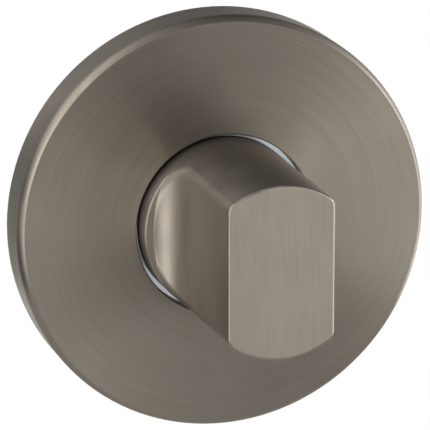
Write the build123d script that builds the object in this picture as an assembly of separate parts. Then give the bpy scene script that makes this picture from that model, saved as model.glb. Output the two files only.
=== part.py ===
"""Bathroom thumbturn: a round push-on rose with a scooped grip that works a square spindle.

Each piece is drawn on the door: its face is the XY plane, X is to the right, Y is up and Z is out towards
the hand. "Out" is always a distance from the door's face, negative inside the door. The finished pieces
are then stood up, so that out becomes -Y and up becomes +Z. The origin stays in the middle of the rose's
back. Lengths are in millimetres and angles in degrees.
"""

import os
from math import asin, degrees, radians, tan

from build123d import *

# Rose cover
rose_diameter = 52.0
rose_height = 6.0
cover_front_wall = 1.2
cover_side_wall = 1.5
cover_side_draft = 0.9
cover_edge_round = 1.5
cover_face_cut = 0.23
cover_inside_corner = 0.4
opening_gap = 0.55
opening_edge_break = 0.15
lever_notch_width = 7.0
lever_notch_depth = 0.9

# Turn grip
grip_length = 22.0
grip_width = 12.95
turn_base_diameter = 21.5
turn_draft = 0.7
base_rim_height = 1.8
cove_radius = 3.6
scoop_edge_round = 1.5
rim_edge_break = 0.15
grip_end_round = 0.3
base_edge_break = 0.2

# Journal and the bush that it runs in
journal_diameter = 12.0
journal_past_door = 0.8
journal_end_chamfer = 0.3
running_clearance = 0.03
end_float = 0.05
bush_wall = 1.5
bush_flange_diameter = 19.0
bush_flange_thickness = 0.8
bush_flange_proud = 0.25
bush_end_proud = 0.05

# Washers and retaining ring behind the inner rose
washer_bore_clearance = 0.2
washer_stack_gap = 0.02
spring_washer_diameter = 18.0
spring_washer_thickness = 0.25
spring_washer_arch = 0.35
backing_washer_diameter = 20.0
backing_washer_thickness = 0.4
ring_thickness = 1.0
ring_width = 1.6
ring_gap = 2.2
ring_lug_diameter = 2.8
ring_lug_hole = 1.3
ring_lug_reach = 3.4
ring_groove_depth = 0.25
ring_groove_clearance = 0.05

# Spindle and its slotted pin
spindle_side = 5.0
spindle_length = 60.0
spindle_in_grip = 10.0
spindle_corner_break = 0.4
spindle_clearance = 0.05
pin_diameter = 1.5
pin_wall = 0.3
pin_slot = 0.3
pin_end_gap = 0.2
pin_clearance = 0.02

# Inner rose
boss_land = 2.6
boss_under_cover = 0.2
web_thickness = 1.15
plate_thickness = 2.4
rim_wall = 1.0
rim_height = 4.1
rim_gap = 0.3
recess_gap = 1.2
cast_corner = 0.25
nib_count = 6
nib_radius = 0.6
nib_clearance = 0.03
nib_end_gap = 0.5
pocket_depth = 1.2
pocket_wall = 0.6
pocket_round = 0.5

# Fixing screws and the screw holes
fixing_centres = 38.0
screw_diameter = 4.0
screw_shank_diameter = 3.5
screw_length = 20.0
screw_head_diameter = 7.5
screw_head_sunk = 0.1
screw_seat_gap = 0.02
screw_thread_start = 0.3
screw_end_chamfer = 0.5
screw_recess_span = 4.0
screw_recess_slot = 0.9
screw_recess_depth = 1.2
screw_recess_taper = 12.0
screw_hole_clearance = 0.15
screw_boss_wall = 1.5
wood_screw_hole = 3.6
wood_screw_sink = 7.0
wood_screw_count = 4
wood_screw_first_angle = 45.0

# Places that follow from the sizes
cover_inside_face = rose_height - cover_front_wall
cover_inside_radius = rose_diameter / 2 - cover_side_wall
turn_base_radius = turn_base_diameter / 2
opening_radius = turn_base_radius + opening_gap
grip_end = rose_height + grip_length
cove_floor = rose_height + base_rim_height
journal_radius = journal_diameter / 2
journal_end = -journal_past_door
bush_bore_radius = journal_radius + running_clearance
bush_radius = bush_bore_radius + bush_wall
flange_radius = bush_flange_diameter / 2
boss_face = cover_inside_face - boss_under_cover
boss_radius = opening_radius + boss_land
flange_front = boss_face + bush_flange_proud
flange_seat = flange_front - bush_flange_thickness
turn_base = flange_front + end_float
recess_floor = flange_seat - web_thickness
bush_end = recess_floor - bush_end_proud
washer_bore_radius = journal_radius + washer_bore_clearance
spring_washer_front = bush_end - end_float
spring_washer_back = spring_washer_front - spring_washer_thickness - spring_washer_arch
backing_washer_front = spring_washer_back - washer_stack_gap
backing_washer_back = backing_washer_front - backing_washer_thickness
ring_front = backing_washer_back - washer_stack_gap
ring_back = ring_front - ring_thickness
groove_radius = journal_radius - ring_groove_depth
groove_front = ring_front + ring_groove_clearance
groove_back = ring_back - ring_groove_clearance
recess_radius = max(backing_washer_diameter / 2, groove_radius + ring_lug_reach) + recess_gap
socket_side = spindle_side + 2 * spindle_clearance
socket_floor = turn_base + spindle_in_grip
spindle_tip = socket_floor - spindle_length
pin_out = (bush_end + flange_front) / 2
pin_length = journal_diameter - 2 * pin_end_gap
rim_radius = cover_inside_radius - rim_gap
trough_radius = rim_radius - rim_wall
fixing_radius = fixing_centres / 2
screw_hole_radius = screw_diameter / 2 + screw_hole_clearance
screw_head_front = plate_thickness - screw_head_sunk
screw_sink_radius = screw_head_diameter / 2 + screw_head_sunk + screw_seat_gap
screw_tip = screw_head_front - screw_length
fixing_angles = (90.0, 270.0)
wood_screw_angles = [wood_screw_first_angle + 360.0 / wood_screw_count * i for i in range(wood_screw_count)]


def section(corners: list) -> Sketch:
    """A half section above the axis, from its (radius, out) corners."""
    return make_face(Polyline(*[(0, radius, out) for radius, out in corners], close=True))


def section_corner(half_section: Sketch, radius: float, out: float) -> Vertex:
    """The half section's corner nearest to this radius and distance out."""
    return half_section.vertices().sort_by_distance((0, radius, out))[0]


def turned(half_section: Sketch) -> Part:
    """The solid that a half section makes when it is turned about the axis."""
    return revolve(half_section, Axis.Z)


def ring(outer: float, inner: float, back: float, front: float) -> Part:
    """A plain ring about the axis, between two distances out."""
    return extrude(Pos(0, 0, back) * (Circle(outer) - Circle(inner)), front - back)


def around(angle: float, radius: float) -> Location:
    """A place on the door's face, at this radius and at this angle from the right towards the top."""
    return Rot(0, 0, angle) * Pos(radius, 0, 0)


def turn_radius(out: float) -> float:
    """The radius of the drafted turn at this distance out."""
    return turn_base_radius - (out - rose_height) * tan(radians(turn_draft))


def make_rose_cover() -> Part:
    """The cup that hides the fixings, with the turn's opening and a notch to lever it off.

    Its edge is rounded first and its face is then turned flat, which leaves a crisp line round the face.
    """
    back_radius = rose_diameter / 2
    blank_height = rose_height + cover_face_cut
    blank_radius = back_radius - blank_height * tan(radians(cover_side_draft))
    cup = section(
        [
            (opening_radius, blank_height),
            (blank_radius, blank_height),
            (back_radius, 0),
            (cover_inside_radius, 0),
            (cover_inside_radius, cover_inside_face),
            (opening_radius, cover_inside_face),
        ]
    )
    cup = fillet(section_corner(cup, blank_radius, blank_height), cover_edge_round)
    beyond = rose_diameter
    cup -= section([(0, rose_height), (beyond, rose_height), (beyond, blank_height), (0, blank_height)])
    cup = chamfer(section_corner(cup, cover_inside_radius, cover_inside_face), cover_inside_corner)
    cup = chamfer(section_corner(cup, opening_radius, rose_height), opening_edge_break)
    notch = Box(lever_notch_width, 4 * cover_side_wall, 2 * lever_notch_depth)
    return turned(cup) - Pos(0, -back_radius, 0) * notch


def make_scoop() -> Part:
    """What one scoop takes from the turn: down the flat, through the cove and out over the base rim."""
    flat = grip_width / 2
    cove_top = cove_floor + cove_radius
    cove_foot = flat + cove_radius
    beyond = turn_base_diameter
    outline = [
        CenterArc((cove_foot, cove_top), cove_radius, 180, 90),
        Polyline(
            (cove_foot, cove_floor),
            (beyond, cove_floor),
            (beyond, grip_end + beyond),
            (flat, grip_end + beyond),
            (flat, cove_top),
        ),
    ]
    return extrude(Plane.XZ * make_face(outline), beyond, both=True)


def make_turn_foot() -> Part:
    """The round foot of the turn: journal, ring groove, base and the rims that the scoops run out over."""
    foot = turned(
        section(
            [
                (0, cove_floor),
                (turn_radius(cove_floor), cove_floor),
                (turn_radius(turn_base + base_edge_break), turn_base + base_edge_break),
                (turn_radius(turn_base) - base_edge_break, turn_base),
                (journal_radius, turn_base),
                (journal_radius, groove_front),
                (groove_radius, groove_front),
                (groove_radius, groove_back),
                (journal_radius, groove_back),
                (journal_radius, journal_end + journal_end_chamfer),
                (journal_radius - journal_end_chamfer, journal_end),
                (0, journal_end),
            ]
        )
    )
    edge = turn_radius(cove_floor)
    edge_chamfer = turned(
        section(
            [
                (edge - rim_edge_break, cove_floor),
                (edge + rim_edge_break, cove_floor),
                (edge + rim_edge_break, cove_floor - 2 * rim_edge_break),
            ]
        )
    )
    under_grip = Box(grip_width + 2 * scoop_edge_round, 2 * turn_base_diameter, 2 * grip_end)
    return foot - (edge_chamfer - under_grip)


def make_turn_grip() -> Part:
    """The casting that the hand turns: a scooped, drafted grip on a round foot, with the spindle's socket."""
    base_radius = turn_radius(turn_base)
    end_radius = turn_radius(grip_end)
    bar = turned(section([(0, grip_end), (end_radius, grip_end), (base_radius, turn_base), (0, turn_base)]))
    scoop = make_scoop()
    grip = bar - scoop - mirror(scoop, Plane.YZ)
    flats = grip.faces().filter_by(Axis.X)
    grip = fillet(flats.edges().filter_by(Axis.Y, reverse=True), scoop_edge_round)
    grip = split(grip, Plane.XY.offset(cove_floor), keep=Keep.TOP) + make_turn_foot()
    end_face = grip.faces().sort_by(Axis.Z)[-1]
    grip = fillet(end_face.edges(), grip_end_round)
    socket = extrude(Pos(0, 0, journal_end) * Rectangle(socket_side, socket_side), socket_floor - journal_end)
    return grip - socket - pin_hole()


def pin_hole() -> Part:
    """The drilling for the pin, across the journal and the spindle."""
    return across(Circle(pin_diameter / 2 + pin_clearance), journal_diameter)


def across(profile: Sketch, length: float) -> Part:
    """A profile drawn from left to right through the journal, at the pin's place."""
    return extrude(Pos(0, 0, pin_out) * (Plane.YZ * profile), length / 2, both=True)


def make_spindle_pin() -> Part:
    """A slotted spring pin that holds the spindle. The bush round the journal keeps it in."""
    tube = Circle(pin_diameter / 2) - Circle(pin_diameter / 2 - pin_wall)
    slot = Pos(pin_diameter / 2, 0) * Rectangle(pin_diameter, pin_slot)
    return across(tube - slot, pin_length)


def make_spindle() -> Part:
    """The square bar that goes through the lock, with its corners broken and a hole for the pin."""
    square = Rectangle(spindle_side, spindle_side)
    square = chamfer(square.vertices(), spindle_corner_break)
    bar = extrude(Pos(0, 0, spindle_tip) * square, spindle_length)
    return bar - pin_hole()


def make_bearing_bush() -> Part:
    """The flanged nylon bush that the journal runs in and the turn's base runs on."""
    return turned(
        section(
            [
                (bush_bore_radius, bush_end),
                (bush_radius, bush_end),
                (bush_radius, flange_seat),
                (flange_radius, flange_seat),
                (flange_radius, flange_front),
                (bush_bore_radius, flange_front),
            ]
        )
    )


def make_spring_washer() -> Part:
    """A ring bent to a shallow arch, crown towards the bush, that gives the turn its drag."""
    radius = spring_washer_diameter / 2
    step = spring_washer_thickness
    back = spring_washer_back
    front = back + step
    crown = back + spring_washer_arch
    strip = [
        ThreePointArc((-radius, back), (0, crown), (radius, back)),
        Line((radius, back), (radius, front)),
        ThreePointArc((radius, front), (0, crown + step), (-radius, front)),
        Line((-radius, front), (-radius, back)),
    ]
    arch = extrude(Plane.XZ * make_face(strip), radius, both=True)
    return arch & ring(radius, washer_bore_radius, back - step, crown + 2 * step)


def make_backing_washer() -> Part:
    """The flat washer between the spring washer and the retaining ring."""
    return ring(backing_washer_diameter / 2, washer_bore_radius, backing_washer_back, backing_washer_front)


def make_retaining_ring() -> Part:
    """The open ring in the journal's groove, with a drilled lug each side of its gap."""
    lug_radius = ring_lug_diameter / 2
    lug_height = groove_radius + ring_lug_reach - lug_radius
    lug_side = ring_gap / 2 + lug_radius
    outline = Circle(groove_radius + ring_width)
    for side in (-lug_side, lug_side):
        outline += Pos(side, lug_height) * Circle(lug_radius)
        outline += Pos(side, lug_height / 2) * Rectangle(ring_lug_diameter, lug_height)
    outline -= Circle(groove_radius)
    outline -= Pos(0, lug_height) * Rectangle(ring_gap, 2 * lug_height)
    for side in (-lug_side, lug_side):
        outline -= Pos(side, lug_height) * Circle(ring_lug_hole / 2)
    return extrude(Pos(0, 0, ring_back) * outline, ring_thickness)


def screw_hole(hole_radius: float, sink_radius: float) -> Part:
    """A countersunk hole through the inner rose's plate, about its own axis."""
    return turned(
        section(
            [
                (0, -plate_thickness),
                (hole_radius, -plate_thickness),
                (hole_radius, plate_thickness - (sink_radius - hole_radius)),
                (sink_radius, plate_thickness),
                (sink_radius, boss_face),
                (0, boss_face),
            ]
        )
    )


def back_pocket(first_angle: float, last_angle: float) -> Part:
    """One shallow pocket in the back of the casting, between the bosses of two neighbouring screw holes."""
    boss_angle = degrees(asin((screw_hole_radius + screw_boss_wall) / fixing_radius))
    beyond = 2 * trough_radius
    first_corner = around(first_angle + boss_angle, beyond).position
    last_corner = around(last_angle - boss_angle, beyond).position
    outline = Circle(trough_radius - pocket_wall) - Circle(boss_radius + pocket_wall)
    outline = outline & make_face(Polyline((0, 0), first_corner, last_corner, close=True))
    return extrude(fillet(outline.vertices(), pocket_round), pocket_depth)


def make_inner_rose() -> Part:
    """The die-cast plate screwed to the door: boss for the bush, rim and nibs for the cover, screw holes."""
    profile = section(
        [
            (recess_radius, 0),
            (rim_radius, 0),
            (rim_radius, rim_height),
            (trough_radius, rim_height),
            (trough_radius, plate_thickness),
            (boss_radius, plate_thickness),
            (boss_radius, boss_face),
            (flange_radius, boss_face),
            (flange_radius, flange_seat),
            (bush_radius, flange_seat),
            (bush_radius, recess_floor),
            (recess_radius, recess_floor),
        ]
    )
    for radius in (trough_radius, boss_radius):
        profile = chamfer(section_corner(profile, radius, plate_thickness), cast_corner)
    rose = turned(profile)
    nib_reach = cover_inside_radius - nib_clearance - nib_radius
    nib = extrude(Pos(0, 0, nib_end_gap) * Circle(nib_radius), rim_height - 2 * nib_end_gap)
    for i in range(nib_count):
        rose += around(360.0 / nib_count * i, nib_reach) * nib
    fixing_hole = screw_hole(screw_hole_radius, screw_sink_radius)
    for angle in fixing_angles:
        rose -= around(angle, fixing_radius) * fixing_hole
    wood_hole = screw_hole(wood_screw_hole / 2, wood_screw_sink / 2)
    for angle in wood_screw_angles:
        rose -= around(angle, fixing_radius) * wood_hole
    angles = sorted([*fixing_angles, *wood_screw_angles])
    for first_angle, last_angle in zip(angles, [*angles[1:], angles[0] + 360]):
        rose -= back_pocket(first_angle, last_angle)
    return rose


def make_fixing_screw() -> Part:
    """A countersunk machine screw about its own axis, with a cross recess and a reduced shank."""
    head_radius = screw_head_diameter / 2
    shank_radius = screw_shank_diameter / 2
    thread_radius = screw_diameter / 2
    screw = turned(
        section(
            [
                (0, screw_head_front),
                (head_radius, screw_head_front),
                (shank_radius, screw_head_front - (head_radius - shank_radius)),
                (shank_radius, -screw_thread_start),
                (thread_radius, -screw_thread_start),
                (thread_radius, screw_tip + screw_end_chamfer),
                (thread_radius - screw_end_chamfer, screw_tip),
                (0, screw_tip),
            ]
        )
    )
    cross = Rectangle(screw_recess_span, screw_recess_slot) + Rectangle(screw_recess_slot, screw_recess_span)
    return screw - extrude(Pos(0, 0, screw_head_front) * cross, -screw_recess_depth, taper=screw_recess_taper)


def main() -> None:
    """Make every piece, stand it up and write it to its own file."""
    fixing_screw = make_fixing_screw()
    upper_angle, lower_angle = fixing_angles
    pieces = {
        "rose_cover": make_rose_cover(),
        "inner_rose": make_inner_rose(),
        "bearing_bush": make_bearing_bush(),
        "fixing_screw_upper": around(upper_angle, fixing_radius) * fixing_screw,
        "fixing_screw_lower": around(lower_angle, fixing_radius) * fixing_screw,
        "turn_grip": make_turn_grip(),
        "spindle": make_spindle(),
        "spindle_pin": make_spindle_pin(),
        "spring_washer": make_spring_washer(),
        "backing_washer": make_backing_washer(),
        "retaining_ring": make_retaining_ring(),
    }
    os.makedirs("parts", exist_ok=True)
    for name, piece in pieces.items():
        export_step(Plane.XZ * piece, f"parts/{name}.step")


main()
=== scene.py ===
"""Bathroom thumbturn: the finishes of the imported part, its threaded screws, its studio and its camera.

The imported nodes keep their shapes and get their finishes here. The two fixing screws are made again with a
real thread. Lengths are in metres in the part's own frame: the door's face is the XZ plane, -Y is out
towards the hand and +Z is up.
"""

import logging
import math
from dataclasses import dataclass
from enum import Enum

import bmesh
import bpy
from mathutils import Matrix, Vector


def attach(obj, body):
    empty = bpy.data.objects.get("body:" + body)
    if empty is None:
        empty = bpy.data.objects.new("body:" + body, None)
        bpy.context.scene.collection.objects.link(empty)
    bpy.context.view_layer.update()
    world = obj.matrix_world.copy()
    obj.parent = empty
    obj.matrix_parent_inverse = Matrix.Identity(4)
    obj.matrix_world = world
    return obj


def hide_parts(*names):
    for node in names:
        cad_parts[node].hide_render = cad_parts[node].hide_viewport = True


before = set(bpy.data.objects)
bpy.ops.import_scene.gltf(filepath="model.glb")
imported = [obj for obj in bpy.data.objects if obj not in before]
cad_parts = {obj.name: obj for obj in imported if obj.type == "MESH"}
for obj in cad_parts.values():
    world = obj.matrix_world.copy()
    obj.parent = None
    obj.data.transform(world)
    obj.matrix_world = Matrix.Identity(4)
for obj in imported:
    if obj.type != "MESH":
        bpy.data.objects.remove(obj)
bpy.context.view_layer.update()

MM = 0.001
LOG = logging.getLogger("thumbturn")

Colour = tuple[float, float, float]
Range = tuple[float, float]
Feed = bpy.types.NodeSocket | float | tuple | Vector
Sockets = bpy.types.bpy_prop_collection

# The range that nearly all values of a noise lie in.
NOISE_RANGE: Range = (0.3, 0.7)
WHOLE_RANGE: Range = (0.0, 1.0)

ZINC_PLATE: Colour = (0.52, 0.54, 0.555)


class BrushDirection(Enum):
    """The way that the brush went over a satin piece."""

    ROUND = "round"
    UPRIGHT = "upright"


@dataclass(frozen=True)
class Grain:
    """How fine a noise is: how many finer layers it has, and how strong they are."""

    layers: float
    strength: float


class NodeSheet:
    """A node tree with short ways to add nodes and join them."""

    def __init__(self, tree: bpy.types.NodeTree) -> None:
        """Keep the tree that the nodes go into."""
        self.tree = tree

    def add(self, kind: str, **settings: object) -> bpy.types.Node:
        """Add one node.

        Args:
            kind: The node's type name.
            settings: Properties to set on the node.

        Returns:
            The new node.
        """
        node = self.tree.nodes.new(kind)
        for name, value in settings.items():
            setattr(node, name, value)
        return node

    def feed(self, socket: bpy.types.NodeSocket, value: Feed) -> None:
        """Join an input to an output, or set its plain value.

        Args:
            socket: The input.
            value: An output to join it to, or a number, colour or vector.
        """
        if isinstance(value, bpy.types.NodeSocket):
            self.tree.links.new(value, socket)
        else:
            socket.default_value = value

    def math(self, operation: str, *values: Feed, clamp: bool = False) -> bpy.types.NodeSocket:
        """Add a math node.

        Args:
            operation: The node's operation.
            values: What goes into its inputs, in order.
            clamp: Whether the result is kept between 0 and 1.

        Returns:
            The node's output.
        """
        node = self.add("ShaderNodeMath", operation=operation, use_clamp=clamp)
        for socket, value in zip(node.inputs, values):
            self.feed(socket, value)
        return node.outputs[0]

    def vector(self, operation: str, *values: Feed, output: str = "Vector") -> bpy.types.NodeSocket:
        """Add a vector math node.

        Args:
            operation: The node's operation.
            values: What goes into its vector inputs, in order.
            output: The name of the output that is wanted.

        Returns:
            That output.
        """
        node = self.add("ShaderNodeVectorMath", operation=operation)
        for socket, value in zip(node.inputs, values):
            self.feed(socket, value)
        return node.outputs[output]

    def combine(self, x: Feed, y: Feed, z: Feed) -> bpy.types.NodeSocket:
        """Make a vector.

        Args:
            x: Its first part.
            y: Its second part.
            z: Its third part.

        Returns:
            The vector.
        """
        node = self.add("ShaderNodeCombineXYZ")
        for socket, value in zip(node.inputs, (x, y, z)):
            self.feed(socket, value)
        return node.outputs[0]

    def separate(self, value: Feed) -> tuple[bpy.types.NodeSocket, ...]:
        """Take a vector apart.

        Args:
            value: The vector.

        Returns:
            Its three parts.
        """
        node = self.add("ShaderNodeSeparateXYZ")
        self.feed(node.inputs[0], value)
        return tuple(node.outputs)

    def noise(self, place: Feed, grain: Grain) -> bpy.types.NodeSocket:
        """Soft noise whose grains are about one unit of the place apart.

        Args:
            place: The vector that the noise is read at.
            grain: How fine the noise is.

        Returns:
            The noise as a value from 0 to 1.
        """
        node = self.add("ShaderNodeTexNoise")
        self.feed(node.inputs["Vector"], place)
        self.feed(node.inputs["Scale"], 1.0)
        self.feed(node.inputs["Detail"], grain.layers)
        self.feed(node.inputs["Roughness"], grain.strength)
        return node.outputs["Fac"]

    def spread(self, value: Feed, source: Range, target: Range = WHOLE_RANGE) -> bpy.types.NodeSocket:
        """Carry a value smoothly from one range to another, without going past its ends.

        Args:
            value: The value.
            source: The range that it comes from.
            target: The range that it goes to.

        Returns:
            The value in the second range.
        """
        node = self.add("ShaderNodeMapRange", interpolation_type="SMOOTHSTEP")
        for socket, part in zip(node.inputs, (value, *source, *target)):
            self.feed(socket, part)
        return node.outputs[0]

    def blend(self, share: Feed, first: Feed, second: Feed) -> bpy.types.NodeSocket:
        """Mix two colours.

        Args:
            share: How much of the second colour there is, from 0 to 1.
            first: The first colour.
            second: The second colour.

        Returns:
            The mixed colour.
        """
        node = self.add("ShaderNodeMix", data_type="RGBA")
        self.feed(node.inputs["Factor"], share)
        self.feed(node.inputs["A"], first)
        self.feed(node.inputs["B"], second)
        return node.outputs["Result"]

    def bump(self, height: Feed, depth: float) -> bpy.types.NodeSocket:
        """A normal that follows a height.

        Args:
            height: The height, from 0 to 1.
            depth: How far the surface stands up where the height is 1.

        Returns:
            The normal.
        """
        node = self.add("ShaderNodeBump")
        self.feed(node.inputs["Distance"], depth)
        self.feed(node.inputs["Height"], height)
        return node.outputs[0]


class SharedEffects:
    """The shader node groups that several finishes share. Each is built once."""

    line_grain: Grain = Grain(3.0, 0.6)
    # A band is as wide as a line divided by this share.
    band_share: float = 0.3
    round_band_grain: Grain = Grain(2.0, 0.5)
    upright_band_grain: Grain = Grain(2.0, 0.6)
    # How much a surface faces up or down where the brush starts to go over it, and where it fully does.
    lying_range: Range = (0.55, 0.85)
    edge_samples: int = 6
    patch_grain: Grain = Grain(2.0, 0.5)
    speck_grain: Grain = Grain(2.0, 0.6)
    specks_across_patch: float = 24.0

    def __init__(self) -> None:
        """Build every group."""
        self.round_brush = self._build_round_brush()
        self.upright_brush = self._build_upright_brush()
        # The mask that places the painted highlight along the edges.
        self.edge_highlight = self._build_edge_highlight()
        self.handling = self._build_handling()

    @staticmethod
    def _start(
        name: str, inputs: dict[str, float], outputs: list[str]
    ) -> tuple[NodeSheet, Sockets, Sockets]:
        """Start a group with named number inputs and outputs.

        Args:
            name: The group's name.
            inputs: Each input's name and usual value.
            outputs: The outputs' names.

        Returns:
            The sheet, the inputs inside the group and the outputs inside the group.
        """
        tree = bpy.data.node_groups.new(name, "ShaderNodeTree")
        for label, value in inputs.items():
            socket = tree.interface.new_socket(name=label, in_out="INPUT", socket_type="NodeSocketFloat")
            socket.default_value = value
        for label in outputs:
            tree.interface.new_socket(name=label, in_out="OUTPUT", socket_type="NodeSocketFloat")
        sheet = NodeSheet(tree)
        return sheet, sheet.add("NodeGroupInput").outputs, sheet.add("NodeGroupOutput").inputs

    def _build_round_brush(self) -> bpy.types.NodeTree:
        """Brush lines that run round the turn's axis.

        Returns:
            The group.
        """
        inputs = {"Line Width": 0.2 * MM, "Line Length": 12 * MM, "Mean Radius": 18 * MM}
        sheet, given, result = self._start("Round brush", inputs, ["Lines", "Bands"])
        x, _, z = sheet.separate(sheet.add("ShaderNodeTexCoord").outputs["Object"])
        flat = sheet.combine(x, 0.0, z)
        radius = sheet.vector("LENGTH", flat, output="Value")
        reach = sheet.math("DIVIDE", given["Mean Radius"], given["Line Length"])
        way_x, _, way_z = sheet.separate(sheet.vector("NORMALIZE", flat))
        along_x = sheet.math("MULTIPLY", way_x, reach)
        along_z = sheet.math("MULTIPLY", way_z, reach)
        across = sheet.math("DIVIDE", radius, given["Line Width"])
        lines = sheet.combine(across, along_x, along_z)
        sheet.feed(result["Lines"], sheet.noise(lines, self.line_grain))
        bands = sheet.combine(sheet.math("MULTIPLY", across, self.band_share), along_x, along_z)
        sheet.feed(result["Bands"], sheet.noise(bands, self.round_band_grain))
        return sheet.tree

    def _build_upright_brush(self) -> bpy.types.NodeTree:
        """Brush lines that run up and down, and over the surfaces that face up or down.

        Returns:
            The group.
        """
        inputs = {"Line Width": 0.2 * MM, "Line Length": 8 * MM}
        sheet, given, result = self._start("Upright brush", inputs, ["Lines", "Bands"])
        place = sheet.add("ShaderNodeTexCoord")
        x, y, z = sheet.separate(place.outputs["Object"])
        _, _, facing_up = sheet.separate(place.outputs["Normal"])
        lying = sheet.spread(sheet.math("ABSOLUTE", facing_up), self.lying_range)
        standing = sheet.math("SUBTRACT", 1.0, lying)
        across_x = sheet.math("DIVIDE", x, given["Line Width"])
        across_y = sheet.math("DIVIDE", y, given["Line Width"])
        along_x = sheet.math("DIVIDE", x, given["Line Length"])
        along_z = sheet.math("DIVIDE", z, given["Line Length"])
        upright = sheet.combine(across_x, across_y, along_z)
        over = sheet.combine(along_x, across_y, 0.0)
        kinds = (("Lines", 1.0, self.line_grain), ("Bands", self.band_share, self.upright_band_grain))
        for label, share, grain in kinds:
            on_standing = sheet.noise(sheet.vector("MULTIPLY", upright, (share, share, 1.0)), grain)
            on_lying = sheet.noise(sheet.vector("MULTIPLY", over, (1.0, share, 1.0)), grain)
            first = sheet.math("MULTIPLY", on_standing, standing)
            sheet.feed(result[label], sheet.math("MULTIPLY_ADD", on_lying, lying, first))
        return sheet.tree

    def _build_edge_highlight(self) -> bpy.types.NodeTree:
        """A mask for a painted highlight: 1 on the convex and concave edges and 0 away from them.

        Returns:
            The group.
        """
        sheet, given, result = self._start("Painted edge highlight", {"Reach": 0.3 * MM, "Strength": 4.0}, ["Edge"])
        rounded = sheet.add("ShaderNodeBevel", samples=self.edge_samples)
        sheet.feed(rounded.inputs["Radius"], given["Reach"])
        straight = sheet.add("ShaderNodeNewGeometry").outputs["Normal"]
        alike = sheet.vector("DOT_PRODUCT", rounded.outputs[0], straight, output="Value")
        turned_away = sheet.math("SUBTRACT", 1.0, alike)
        sheet.feed(result["Edge"], sheet.math("MULTIPLY", turned_away, given["Strength"], clamp=True))
        return sheet.tree

    def _build_handling(self) -> bpy.types.NodeTree:
        """Slow, faint marks of handling and of the plating bath.

        Returns:
            The group.
        """
        sheet, given, result = self._start("Handling", {"Patch Size": 6 * MM}, ["Patches", "Specks"])
        patch = sheet.add("ShaderNodeVectorMath", operation="SCALE")
        sheet.feed(patch.inputs[0], sheet.add("ShaderNodeTexCoord").outputs["Object"])
        sheet.feed(patch.inputs["Scale"], sheet.math("DIVIDE", 1.0, given["Patch Size"]))
        sheet.feed(result["Patches"], sheet.noise(patch.outputs[0], self.patch_grain))
        speck = sheet.vector("MULTIPLY", patch.outputs[0], (self.specks_across_patch,) * 3)
        sheet.feed(result["Specks"], sheet.noise(speck, self.speck_grain))
        return sheet.tree


def start_material(name: str) -> tuple[bpy.types.Material, NodeSheet, bpy.types.Node]:
    """Start a node material.

    Args:
        name: The material's name.

    Returns:
        The material, its sheet and its Principled shader.
    """
    material = bpy.data.materials.new(name)
    material.use_nodes = True
    sheet = NodeSheet(material.node_tree)
    return material, sheet, material.node_tree.nodes["Principled BSDF"]


def place_group(sheet: NodeSheet, tree: bpy.types.NodeTree, **values: float) -> Sockets:
    """Place a shared effect in a material.

    Args:
        sheet: The material's sheet.
        tree: The effect's node group.
        values: The effect's inputs, with underscores for spaces.

    Returns:
        The effect's outputs.
    """
    node = sheet.add("ShaderNodeGroup", node_tree=tree)
    for label, value in values.items():
        node.inputs[label.replace("_", " ").title()].default_value = value
    return node.outputs


def shaded(colour: Colour, gain: float = 1.0) -> tuple[float, ...]:
    """A colour made darker or brighter, with the fourth part that a colour socket takes.

    Args:
        colour: The colour.
        gain: What its parts are multiplied by.

    Returns:
        The shaded, opaque colour.
    """
    return (*(min(1.0, part * gain) for part in colour), 1.0)


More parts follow.
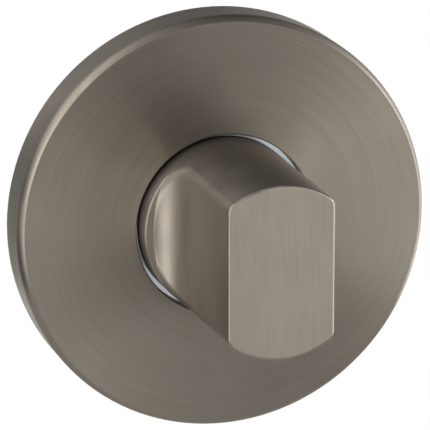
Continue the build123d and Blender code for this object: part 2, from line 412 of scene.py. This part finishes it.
@dataclass(frozen=True)
class SatinFinish:
    """Brushed satin metal: fine lines, a long soft shine across them and a painted highlight that makes the
    colour slightly brighter along the edges.
    """

    name: str
    direction: BrushDirection
    colour: Colour = (0.36, 0.32, 0.27)
    line_shade: float = 0.13
    roughness: float = 0.34
    roughness_spread: float = 0.03
    anisotropy: float = 0.90
    line_width: float = 0.11 * MM
    line_length: float = 6 * MM
    line_depth: float = 0.004 * MM
    # How far the painted edge highlight reaches, and how much it brightens the colour.
    edge_reach: float = 0.25 * MM
    edge_highlight_gain: float = 1.15
    patch_range: Range = (0.35, 0.7)
    patch_roughness: Range = (-0.02, 0.03)

    def build(self, effects: SharedEffects) -> bpy.types.Material:
        """Make the material.

        Args:
            effects: The shared node groups.

        Returns:
            The material.
        """
        material, sheet, shader = start_material(self.name)
        tree = effects.round_brush if self.direction is BrushDirection.ROUND else effects.upright_brush
        brush = place_group(sheet, tree, line_width=self.line_width, line_length=self.line_length)
        painted_edge = place_group(sheet, effects.edge_highlight, reach=self.edge_reach)
        marks = place_group(sheet, effects.handling)
        lines = sheet.spread(brush["Lines"], NOISE_RANGE)
        plain = sheet.blend(lines, shaded(self.colour, 1 - self.line_shade), shaded(self.colour))
        # Painted highlight: the colour is made brighter along the convex and concave edges.
        highlighted = sheet.blend(painted_edge["Edge"], plain, shaded(self.colour, self.edge_highlight_gain))
        sheet.feed(shader.inputs["Base Color"], highlighted)
        low = self.roughness - self.roughness_spread / 2
        streak = sheet.spread(brush["Bands"], NOISE_RANGE, (low, low + self.roughness_spread))
        patch = sheet.spread(marks["Patches"], self.patch_range, self.patch_roughness)
        sheet.feed(shader.inputs["Roughness"], sheet.math("ADD", streak, patch))
        sheet.feed(shader.inputs["Metallic"], 1.0)
        sheet.feed(shader.inputs["Anisotropic"], self.anisotropy)
        sheet.feed(shader.inputs["Tangent"], self._across_lines(sheet))
        sheet.feed(shader.inputs["Normal"], sheet.bump(brush["Lines"], self.line_depth))
        return material

    def _across_lines(self, sheet: NodeSheet) -> bpy.types.NodeSocket:
        """The direction across the brush lines, in which the shine spreads.

        Args:
            sheet: The material's sheet.

        Returns:
            The direction.
        """
        place = sheet.add("ShaderNodeTexCoord")
        if self.direction is BrushDirection.ROUND:
            x, _, z = sheet.separate(place.outputs["Object"])
            around = sheet.vector("NORMALIZE", sheet.combine(z, 0.0, sheet.math("MULTIPLY", x, -1.0)))
            own = sheet.vector("CROSS_PRODUCT", place.outputs["Normal"], around)
        else:
            # The level direction on a surface that faces up or down has no length, so it is given one.
            x, y, z = sheet.separate(place.outputs["Normal"])
            lying = sheet.math("MULTIPLY", sheet.math("SIGN", x), sheet.math("ABSOLUTE", z))
            outward = sheet.math("ADD", x, lying)
            own = sheet.combine(y, sheet.math("MULTIPLY", outward, -1.0), 0.0)
        turn = sheet.add("ShaderNodeVectorTransform", convert_from="OBJECT", convert_to="WORLD")
        turn.vector_type = "VECTOR"
        sheet.feed(turn.inputs[0], own)
        return turn.outputs[0]


@dataclass(frozen=True)
class PlainFinish:
    """An unbrushed surface, cast, plated, blackened or moulded, with fine grain, faint patches and a painted
    highlight along its edges.
    """

    name: str
    colour: Colour
    metallic: float
    roughness: float
    patch_shade: float = 0.12
    patch_size: float = 3 * MM
    patch_range: Range = (0.35, 0.65)
    grain_depth: float = 0.004 * MM
    grain_roughness: Range = (-0.05, 0.07)
    # How far the painted edge highlight reaches, and how much it brightens the colour.
    edge_reach: float = 0.15 * MM
    edge_highlight_gain: float = 1.10

    def build(self, effects: SharedEffects) -> bpy.types.Material:
        """Make the material.

        Args:
            effects: The shared node groups.

        Returns:
            The material.
        """
        material, sheet, shader = start_material(self.name)
        marks = place_group(sheet, effects.handling, patch_size=self.patch_size)
        painted_edge = place_group(sheet, effects.edge_highlight, reach=self.edge_reach)
        patch = sheet.spread(marks["Patches"], self.patch_range)
        plain = sheet.blend(patch, shaded(self.colour, 1 - self.patch_shade), shaded(self.colour))
        # Painted highlight: the colour is made brighter along the convex and concave edges.
        highlighted = sheet.blend(painted_edge["Edge"], plain, shaded(self.colour, self.edge_highlight_gain))
        smoothest, roughest = (self.roughness + step for step in self.grain_roughness)
        grain = sheet.spread(marks["Specks"], NOISE_RANGE, (smoothest, roughest))
        colour, roughness, height = self._worked(sheet, highlighted, grain, marks["Specks"])
        sheet.feed(shader.inputs["Base Color"], colour)
        sheet.feed(shader.inputs["Roughness"], roughness)
        sheet.feed(shader.inputs["Metallic"], self.metallic)
        sheet.feed(shader.inputs["Normal"], sheet.bump(height, self.grain_depth))
        return material

    def _worked(
        self, sheet: NodeSheet, colour: Feed, roughness: Feed, height: Feed
    ) -> tuple[Feed, Feed, Feed]:
        """The colour, the roughness and the grain after any later work on the surface, here none."""
        return colour, roughness, height


@dataclass(frozen=True)
class TurnedCasting(PlainFinish):
    """A casting whose foremost face has been turned bright."""

    turned_from: float = 4.5 * MM
    turned_colour: Colour = (0.76, 0.81, 0.85)
    turned_roughness: float = 0.12

    def _worked(
        self, sheet: NodeSheet, colour: Feed, roughness: Feed, height: Feed
    ) -> tuple[Feed, Feed, Feed]:
        """Brighten and smooth the surface in front of the place where the turning starts.

        Args:
            sheet: The material's sheet.
            colour: The casting's colour.
            roughness: The casting's roughness.
            height: The height of the casting's grain.

        Returns:
            The colour, the roughness and the height with the turned face in them.
        """
        _, y, _ = sheet.separate(sheet.add("ShaderNodeTexCoord").outputs["Object"])
        cast = sheet.math("GREATER_THAN", y, -self.turned_from)
        rest = sheet.math("SUBTRACT", roughness, self.turned_roughness)
        smoother = sheet.math("MULTIPLY_ADD", rest, cast, self.turned_roughness)
        brighter = sheet.blend(cast, shaded(self.turned_colour), colour)
        return brighter, smoother, sheet.math("MULTIPLY", height, cast)


def dress(node: str, material: bpy.types.Material) -> None:
    """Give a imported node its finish.

    Args:
        node: The node's name.
        material: The finish.
    """
    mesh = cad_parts[node].data
    mesh.materials.clear()
    mesh.materials.append(material)
    LOG.info("%s is finished in %s", node, material.name)


@dataclass
class CoverAssembly:
    """The push-on cover of the rose."""

    finish: SatinFinish = SatinFinish("satin_nickel_round", BrushDirection.ROUND, line_length=20 * MM)

    def dress(self, effects: SharedEffects) -> None:
        """Finish the cover."""
        dress("rose_cover", self.finish.build(effects))


@dataclass
class TurnAssembly:
    """The grip, with the spindle, the pin, the washers and the ring that turn with it."""

    finish: SatinFinish = SatinFinish("satin_nickel_upright", BrushDirection.UPRIGHT, line_shade=0.10)
    plate: PlainFinish = PlainFinish("zinc_plate_bar", ZINC_PLATE, metallic=1.0, roughness=0.32)
    black: PlainFinish = PlainFinish(
        "black_spring_steel", (0.045, 0.045, 0.05), metallic=0.6, roughness=0.42
    )

    def dress(self, effects: SharedEffects) -> None:
        """Finish every piece that turns.

        Args:
            effects: The shared node groups.
        """
        dress("turn_grip", self.finish.build(effects))
        plate = self.plate.build(effects)
        for node in ("spindle", "backing_washer"):
            dress(node, plate)
        black = self.black.build(effects)
        for node in ("spindle_pin", "spring_washer", "retaining_ring"):
            dress(node, black)


@dataclass
class BaseAssembly:
    """The inner rose with its bush and its two threaded fixing screws."""

    casting: PlainFinish = TurnedCasting(
        "bright_zinc_casting", (0.50, 0.525, 0.54), metallic=1.0, roughness=0.28
    )
    nylon: PlainFinish = PlainFinish(
        "natural_nylon", (0.80, 0.78, 0.72), metallic=0.0, roughness=0.55, patch_shade=0.05
    )
    plate: PlainFinish = PlainFinish("zinc_plate_screw", ZINC_PLATE, metallic=1.0, roughness=0.30)
    fixing_radius: float = 19.0 * MM
    head_radius: float = 3.75 * MM
    head_front: float = -2.3 * MM
    shank_radius: float = 1.75 * MM
    tip: float = 17.7 * MM
    tip_chamfer: float = 0.5 * MM
    facets: int = 40
    weld_distance: float = 0.001 * MM
    thread_start: float = 0.3 * MM
    crest_radius: float = 2.0 * MM
    root_radius: float = 1.6 * MM
    pitch: float = 0.7 * MM
    thread_sink: float = 0.05 * MM
    # Half the width of the thread's ridge at its foot and at its crest, as shares of the pitch.
    foot_share: float = 0.47
    crest_share: float = 0.07
    steps_per_turn: int = 24
    recess_span: float = 4.0 * MM
    recess_slot: float = 0.9 * MM
    recess_depth: float = 1.2 * MM
    # The recess has its own span at the head's face and is smaller by this share at its floor.
    recess_flare: float = 0.2

    def dress(self, effects: SharedEffects) -> None:
        """Finish the casting and the bush."""
        dress("inner_rose", self.casting.build(effects))
        dress("bearing_bush", self.nylon.build(effects))

    def build_screws(self, effects: SharedEffects) -> bpy.types.Object:
        """Make both fixing screws as one piece, in place of their plain solids.

        Args:
            effects: The shared node groups.

        Returns:
            The finished piece.
        """
        plain = self._plain_screw()
        tree = self._thread_tree()
        modifier = plain.modifiers.new("thread", "NODES")
        modifier.node_group = tree
        values = {
            "Turns": (self.tip - self.tip_chamfer - self.thread_start) / self.pitch - 1.0,
            "Root Radius": self.root_radius - self.thread_sink,
            "Ridge": self.crest_radius - self.root_radius + self.thread_sink,
            "Pitch": self.pitch,
            "Start": self.thread_start + self.pitch / 2,
            "Fixing Radius": self.fixing_radius,
            "Finish": self.plate.build(effects),
        }
        for item in tree.interface.items_tree:
            if item.in_out == "INPUT" and item.name in values:
                modifier[item.identifier] = values[item.name]
        graph = bpy.context.evaluated_depsgraph_get()
        mesh = bpy.data.meshes.new_from_object(plain.evaluated_get(graph))
        plain.modifiers.clear()
        plain.data = mesh
        plain.name = "fixing_screws"
        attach(plain, "base")
        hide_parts("fixing_screw_upper", "fixing_screw_lower")
        LOG.info("fixing_screws has %d faces", len(mesh.polygons))
        return plain

    def _plain_screw(self) -> bpy.types.Object:
        """One screw without its thread, on its own axis, with the cross recess cut into its head.

        Returns:
            The screw.
        """
        neck = self.head_front + self.head_radius - self.shank_radius
        profile = [
            (0.0, self.head_front),
            (self.head_radius, self.head_front),
            (self.shank_radius, neck),
            (self.shank_radius, self.thread_start),
            (self.root_radius, self.thread_start),
            (self.root_radius, self.tip - self.tip_chamfer),
            (self.root_radius - self.tip_chamfer, self.tip),
            (0.0, self.tip),
        ]
        work = bmesh.new()
        points = [work.verts.new((radius, y, 0.0)) for radius, y in profile]
        edges = [work.edges.new(pair) for pair in zip(points, points[1:])]
        bmesh.ops.spin(
            work,
            geom=points + edges,
            cent=(0, 0, 0),
            axis=(0, 1, 0),
            angle=2 * math.pi,
            steps=self.facets,
            use_merge=True,
        )
        bmesh.ops.remove_doubles(work, verts=work.verts, dist=self.weld_distance)
        bmesh.ops.recalc_face_normals(work, faces=work.faces)
        screw = self._object("plain_screw", work)
        cutter = self._recess_cutter()
        cut = screw.modifiers.new("recess", "BOOLEAN")
        cut.operation = "DIFFERENCE"
        cut.solver = "EXACT"
        cut.object = cutter
        graph = bpy.context.evaluated_depsgraph_get()
        screw.data = bpy.data.meshes.new_from_object(screw.evaluated_get(graph))
        screw.modifiers.clear()
        bpy.data.objects.remove(cutter)
        return screw

    def _recess_cutter(self) -> bpy.types.Object:
        """The cross that is cut into a screw's head, narrower at its floor.

        Returns:
            The cutter.
        """
        half = self.recess_slot / 2
        reach = self.recess_span / 2
        arm = [(half, half), (half, reach), (-half, reach), (-half, half)]
        half_cross = arm + [(-reach, half), (-reach, -half)]
        outline = half_cross + [(-x, -z) for x, z in half_cross]
        work = bmesh.new()
        above = self.head_front - self.recess_depth
        floor = self.head_front + self.recess_depth
        wider = 1 + self.recess_flare
        narrower = 1 - self.recess_flare
        upper = [work.verts.new((wider * x, above, wider * z)) for x, z in outline]
        lower = [work.verts.new((narrower * x, floor, narrower * z)) for x, z in outline]
        work.faces.new(upper)
        work.faces.new(lower[::-1])
        for i in range(len(outline)):
            following = (i + 1) % len(outline)
            work.faces.new((upper[i], lower[i], lower[following], upper[following]))
        bmesh.ops.recalc_face_normals(work, faces=work.faces)
        return self._object("recess_cutter", work)

    @staticmethod
    def _object(name: str, work: bmesh.types.BMesh) -> bpy.types.Object:
        """Turn a working mesh into an object of the scene.

        Args:
            name: The object's name.
            work: The working mesh, which is freed.

        Returns:
            The object.
        """
        mesh = bpy.data.meshes.new(name)
        work.to_mesh(mesh)
        work.free()
        piece = bpy.data.objects.new(name, mesh)
        bpy.context.scene.collection.objects.link(piece)
        return piece

    def _thread_tree(self) -> bpy.types.NodeTree:
        """The node tree that winds a thread round a plain screw and sets it at both fixings.

        Returns:
            The tree.
        """
        tree = bpy.data.node_groups.new("Threaded fixing screws", "GeometryNodeTree")
        face = tree.interface
        face.new_socket(name="Geometry", in_out="INPUT", socket_type="NodeSocketGeometry")
        for name in ("Turns", "Root Radius", "Ridge", "Pitch", "Start", "Fixing Radius"):
            face.new_socket(name=name, in_out="INPUT", socket_type="NodeSocketFloat")
        face.new_socket(name="Finish", in_out="INPUT", socket_type="NodeSocketMaterial")
        face.new_socket(name="Geometry", in_out="OUTPUT", socket_type="NodeSocketGeometry")
        sheet = NodeSheet(tree)
        given = sheet.add("NodeGroupInput").outputs
        threaded = sheet.add("GeometryNodeJoinGeometry")
        sheet.feed(threaded.inputs[0], given["Geometry"])
        sheet.feed(threaded.inputs[0], self._thread(sheet, given))
        finish = sheet.add("GeometryNodeSetMaterial")
        sheet.feed(finish.inputs["Geometry"], self._at_fixings(sheet, given, threaded.outputs[0]))
        sheet.feed(finish.inputs["Material"], given["Finish"])
        sheet.feed(sheet.add("NodeGroupOutput").inputs[0], finish.outputs[0])
        return tree

    def _thread(self, sheet: NodeSheet, given: Sockets) -> bpy.types.NodeSocket:
        """Wind the thread of one screw round the screw's own axis.

        Args:
            sheet: The tree's sheet.
            given: The tree's inputs.

        Returns:
            The thread.
        """
        spiral = sheet.add("GeometryNodeCurveSpiral")
        sheet.feed(spiral.inputs["Resolution"], self.steps_per_turn)
        sheet.feed(spiral.inputs["Rotations"], given["Turns"])
        sheet.feed(spiral.inputs["Start Radius"], given["Root Radius"])
        sheet.feed(spiral.inputs["End Radius"], given["Root Radius"])
        sheet.feed(spiral.inputs["Height"], sheet.math("MULTIPLY", given["Turns"], given["Pitch"]))
        upright = sheet.add("GeometryNodeSetCurveNormal", mode="Z_UP")
        sheet.feed(upright.inputs["Curve"], spiral.outputs["Curve"])
        swept = sheet.add("GeometryNodeCurveToMesh")
        sheet.feed(swept.inputs["Curve"], upright.outputs["Curve"])
        sheet.feed(swept.inputs["Profile Curve"], self._ridge(sheet, given))
        sheet.feed(swept.inputs["Fill Caps"], True)
        laid = sheet.add("GeometryNodeTransform")
        sheet.feed(laid.inputs["Geometry"], swept.outputs["Mesh"])
        sheet.feed(laid.inputs["Translation"], sheet.combine(0.0, given["Start"], 0.0))
        sheet.feed(laid.inputs["Rotation"], (-math.pi / 2, 0.0, 0.0))
        return laid.outputs["Geometry"]

    def _ridge(self, sheet: NodeSheet, given: Sockets) -> bpy.types.NodeSocket:
        """The outline of the thread's ridge, wide at its foot and narrow at its crest.

        Args:
            sheet: The tree's sheet.
            given: The tree's inputs.

        Returns:
            The outline.
        """
        outline = sheet.add("GeometryNodeCurvePrimitiveQuadrilateral", mode="POINTS")
        foot = sheet.math("MULTIPLY", given["Pitch"], self.foot_share)
        crest = sheet.math("MULTIPLY", given["Pitch"], self.crest_share)
        corners = (
            (0.0, foot, -1.0),
            (given["Ridge"], crest, -1.0),
            (given["Ridge"], crest, 1.0),
            (0.0, foot, 1.0),
        )
        for number, (height, half, side) in enumerate(corners, start=1):
            corner = sheet.combine(height, sheet.math("MULTIPLY", half, side), 0.0)
            sheet.feed(outline.inputs[f"Point {number}"], corner)
        return outline.outputs["Curve"]

    @staticmethod
    def _at_fixings(
        sheet: NodeSheet, given: Sockets, screw: bpy.types.NodeSocket
    ) -> bpy.types.NodeSocket:
        """Set a copy of the screw at each fixing.

        Args:
            sheet: The tree's sheet.
            given: The tree's inputs.
            screw: The screw on its own axis.

        Returns:
            Both screws, as real geometry.
        """
        # A line of two points. In this mode the node's Offset is the place where the line ends.
        places = sheet.add("GeometryNodeMeshLine", mode="END_POINTS")
        below = sheet.math("MULTIPLY", given["Fixing Radius"], -1.0)
        sheet.feed(places.inputs["Count"], 2)
        sheet.feed(places.inputs["Start Location"], sheet.combine(0.0, 0.0, given["Fixing Radius"]))
        sheet.feed(places.inputs["Offset"], sheet.combine(0.0, 0.0, below))
        copies = sheet.add("GeometryNodeInstanceOnPoints")
        sheet.feed(copies.inputs["Points"], places.outputs["Mesh"])
        sheet.feed(copies.inputs["Instance"], screw)
        real = sheet.add("GeometryNodeRealizeInstances")
        sheet.feed(real.inputs[0], copies.outputs["Instances"])
        return real.outputs[0]


def towards(azimuth: float, elevation: float) -> Vector:
    """A direction from the part.

    Args:
        azimuth: Degrees from straight in front, growing to the right.
        elevation: Degrees above the horizon.

    Returns:
        The direction, one unit long.
    """
    aside = math.radians(azimuth)
    upward = math.radians(elevation)
    level = math.cos(upward)
    return Vector((math.sin(aside) * level, -math.cos(aside) * level, math.sin(upward)))


@dataclass(frozen=True)
class Glow:
    """A soft white light in the surroundings, brightest in one direction and fading away from it."""

    name: str
    azimuth: float
    elevation: float
    strength: float
    tightness: float

    def add(self, sheet: NodeSheet, way: Feed, so_far: Feed) -> bpy.types.NodeSocket:
        """Add this light to the surroundings.

        Args:
            sheet: The surroundings' sheet.
            way: The direction that is looked in.
            so_far: The light without this one.

        Returns:
            The light with this one.
        """
        facing = sheet.vector("DOT_PRODUCT", way, towards(self.azimuth, self.elevation), output="Value")
        aside = sheet.math("SUBTRACT", facing, 1.0)
        fading = sheet.math("EXPONENT", sheet.math("MULTIPLY", aside, self.tightness))
        LOG.info("%s shines from %.0f, %.0f", self.name, self.azimuth, self.elevation)
        return sheet.vector("MULTIPLY_ADD", fading, (self.strength,) * 3, so_far)


@dataclass
class Studio:
    """The camera, the soft lights, the white card behind the part and the floor under it."""

    azimuth: float = -16.81
    elevation: float = 15.35
    roll: float = -0.13
    camera_distance: float = 360.4 * MM
    aim_right: float = 0.42 * MM
    aim_up: float = -0.33 * MM
    lens: float = 243.2
    sensor_width: float = 36.0
    nearest: float = 0.01
    farthest: float = 10.0
    card_distance: float = 0.9
    card_side: float = 0.24
    card_glow: float = 1.0
    floor_side: float = 0.40
    floor_height: float = -0.13
    floor_glow: float = 0.5
    matt_colour: Colour = (0.82, 0.82, 0.81)
    matt_roughness: float = 0.9
    ambient: Colour = (0.01, 0.01, 0.01)
    # Each light has its azimuth, its elevation, its strength and its tightness.
    glows: tuple[Glow, ...] = (
        Glow("left box", -45.0, 12.0, 2.45, 16.0),
        Glow("low left box", -45.0, -15.0, 2.55, 16.0),
        Glow("upper left box", -80.0, 40.0, 1.2, 16.0),
        Glow("left ceiling", -95.0, 55.0, 1.25, 6.0),
        Glow("front right wall", 30.0, 20.0, 0.38, 6.0),
        Glow("low front right box", 30.0, -15.0, 0.3, 16.0),
        Glow("right box", 65.0, 10.0, 4.8, 40.0),
        Glow("right wall", 75.0, -20.0, 2.8, 6.0),
        Glow("right ceiling", 105.0, 36.0, 0.4, 16.0),
        Glow("backdrop", 165.0, -21.0, 1.75, 7.5),
    )

    def build(self) -> None:
        """Set everything up."""
        bpy.context.scene.view_settings.view_transform = "Standard"
        self._build_camera()
        self._build_surroundings()
        self._build_card()
        self._build_floor()

    def _axes(self) -> tuple[Vector, Vector, Vector]:
        """The camera's directions when it looks at the middle of the rose's back.

        Returns:
            The directions to the right, up and backward.
        """
        back = towards(self.azimuth, self.elevation)
        level = back.cross(Vector((0, 0, -1))).normalized()
        tilt = Matrix.Rotation(math.radians(self.roll), 3, back)
        right = tilt @ level
        return right, back.cross(right), back

    @staticmethod
    def _facing(right: Vector, up: Vector, back: Vector) -> Matrix:
        """The turn that takes X, Y and Z to three directions."""
        return Matrix((right, up, back)).transposed().to_4x4()

    def _build_camera(self) -> None:
        """Stand the camera where the photograph was taken from."""
        right, up, back = self._axes()
        place = back * self.camera_distance
        aim = right * self.aim_right + up * self.aim_up
        back = (place - aim).normalized()
        right = up.cross(back).normalized()
        up = back.cross(right)
        data = bpy.data.cameras.new("camera")
        data.sensor_width = self.sensor_width
        data.lens = self.lens
        data.clip_start = self.nearest
        data.clip_end = self.farthest
        camera = bpy.data.objects.new("camera", data)
        camera.matrix_world = Matrix.Translation(place) @ self._facing(right, up, back)
        bpy.context.scene.collection.objects.link(camera)
        bpy.context.scene.camera = camera

    def _build_surroundings(self) -> None:
        """Dim grey surroundings with the soft lights in them."""
        world = bpy.data.worlds.new("studio")
        world.use_nodes = True
        sheet = NodeSheet(world.node_tree)
        way = sheet.add("ShaderNodeTexCoord").outputs["Generated"]
        light = self.ambient
        for glow in self.glows:
            light = glow.add(sheet, way, light)
        background = world.node_tree.nodes["Background"]
        sheet.feed(background.inputs["Color"], light)
        sheet.feed(background.inputs["Strength"], 1.0)
        bpy.context.scene.world = world

    def _build_card(self) -> bpy.types.Object:
        """The white card that fills the picture behind the part.

        Returns:
            The card.
        """
        right, up, back = self._axes()
        card = self._square("white_card", self.card_side)
        card.data.transform(Matrix.Translation(-back * self.card_distance) @ self._facing(right, up, back))
        rays = ("Is Camera Ray", "Is Glossy Ray", "Is Transmission Ray")
        card.data.materials.append(self._pale("white_card", self.card_glow, rays))
        return card

    def _build_floor(self) -> bpy.types.Object:
        """The plain pale floor under the part, just out of the picture.

        Returns:
            The floor.
        """
        floor = self._square("floor", self.floor_side)
        floor.data.transform(Matrix.Translation((0, 0, self.floor_height)))
        rays = ("Is Glossy Ray", "Is Transmission Ray")
        floor.data.materials.append(self._pale("pale_floor", self.floor_glow, rays))
        return floor

    def _pale(self, name: str, glow: float, rays: tuple[str, ...]) -> bpy.types.Material:
        """A pale matt material that some kinds of ray see as an even glow.

        Args:
            name: The material's name.
            glow: The strength of the glow, where 1 is white.
            rays: The kinds of ray that see the glow.

        Returns:
            The material.
        """
        material, sheet, shader = start_material(name)
        sheet.feed(shader.inputs["Base Color"], shaded(self.matt_colour))
        sheet.feed(shader.inputs["Roughness"], self.matt_roughness)
        even = sheet.add("ShaderNodeEmission")
        sheet.feed(even.inputs["Strength"], glow)
        path = sheet.add("ShaderNodeLightPath").outputs
        seen = path[rays[0]]
        for ray in rays[1:]:
            seen = sheet.math("MAXIMUM", seen, path[ray])
        both = sheet.add("ShaderNodeMixShader")
        sheet.feed(both.inputs[0], seen)
        sheet.feed(both.inputs[1], shader.outputs[0])
        sheet.feed(both.inputs[2], even.outputs[0])
        sheet.feed(material.node_tree.nodes["Material Output"].inputs["Surface"], both.outputs[0])
        return material

    @staticmethod
    def _square(name: str, side: float) -> bpy.types.Object:
        """A flat square round the origin.

        Args:
            name: The object's name.
            side: The length of its sides.

        Returns:
            The square.
        """
        half = side / 2
        mesh = bpy.data.meshes.new(name)
        corners = [(-half, -half, 0), (half, -half, 0), (half, half, 0), (-half, half, 0)]
        mesh.from_pydata(corners, [], [(0, 1, 2, 3)])
        square = bpy.data.objects.new(name, mesh)
        bpy.context.scene.collection.objects.link(square)
        return square


def main() -> None:
    """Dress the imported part, remake its screws and set up the studio."""
    logging.basicConfig(level=logging.INFO, format="%(name)s: %(message)s")
    effects = SharedEffects()
    CoverAssembly().dress(effects)
    TurnAssembly().dress(effects)
    base = BaseAssembly()
    base.dress(effects)
    base.build_screws(effects)
    Studio().build()


if __name__ == "__main__":
    main()
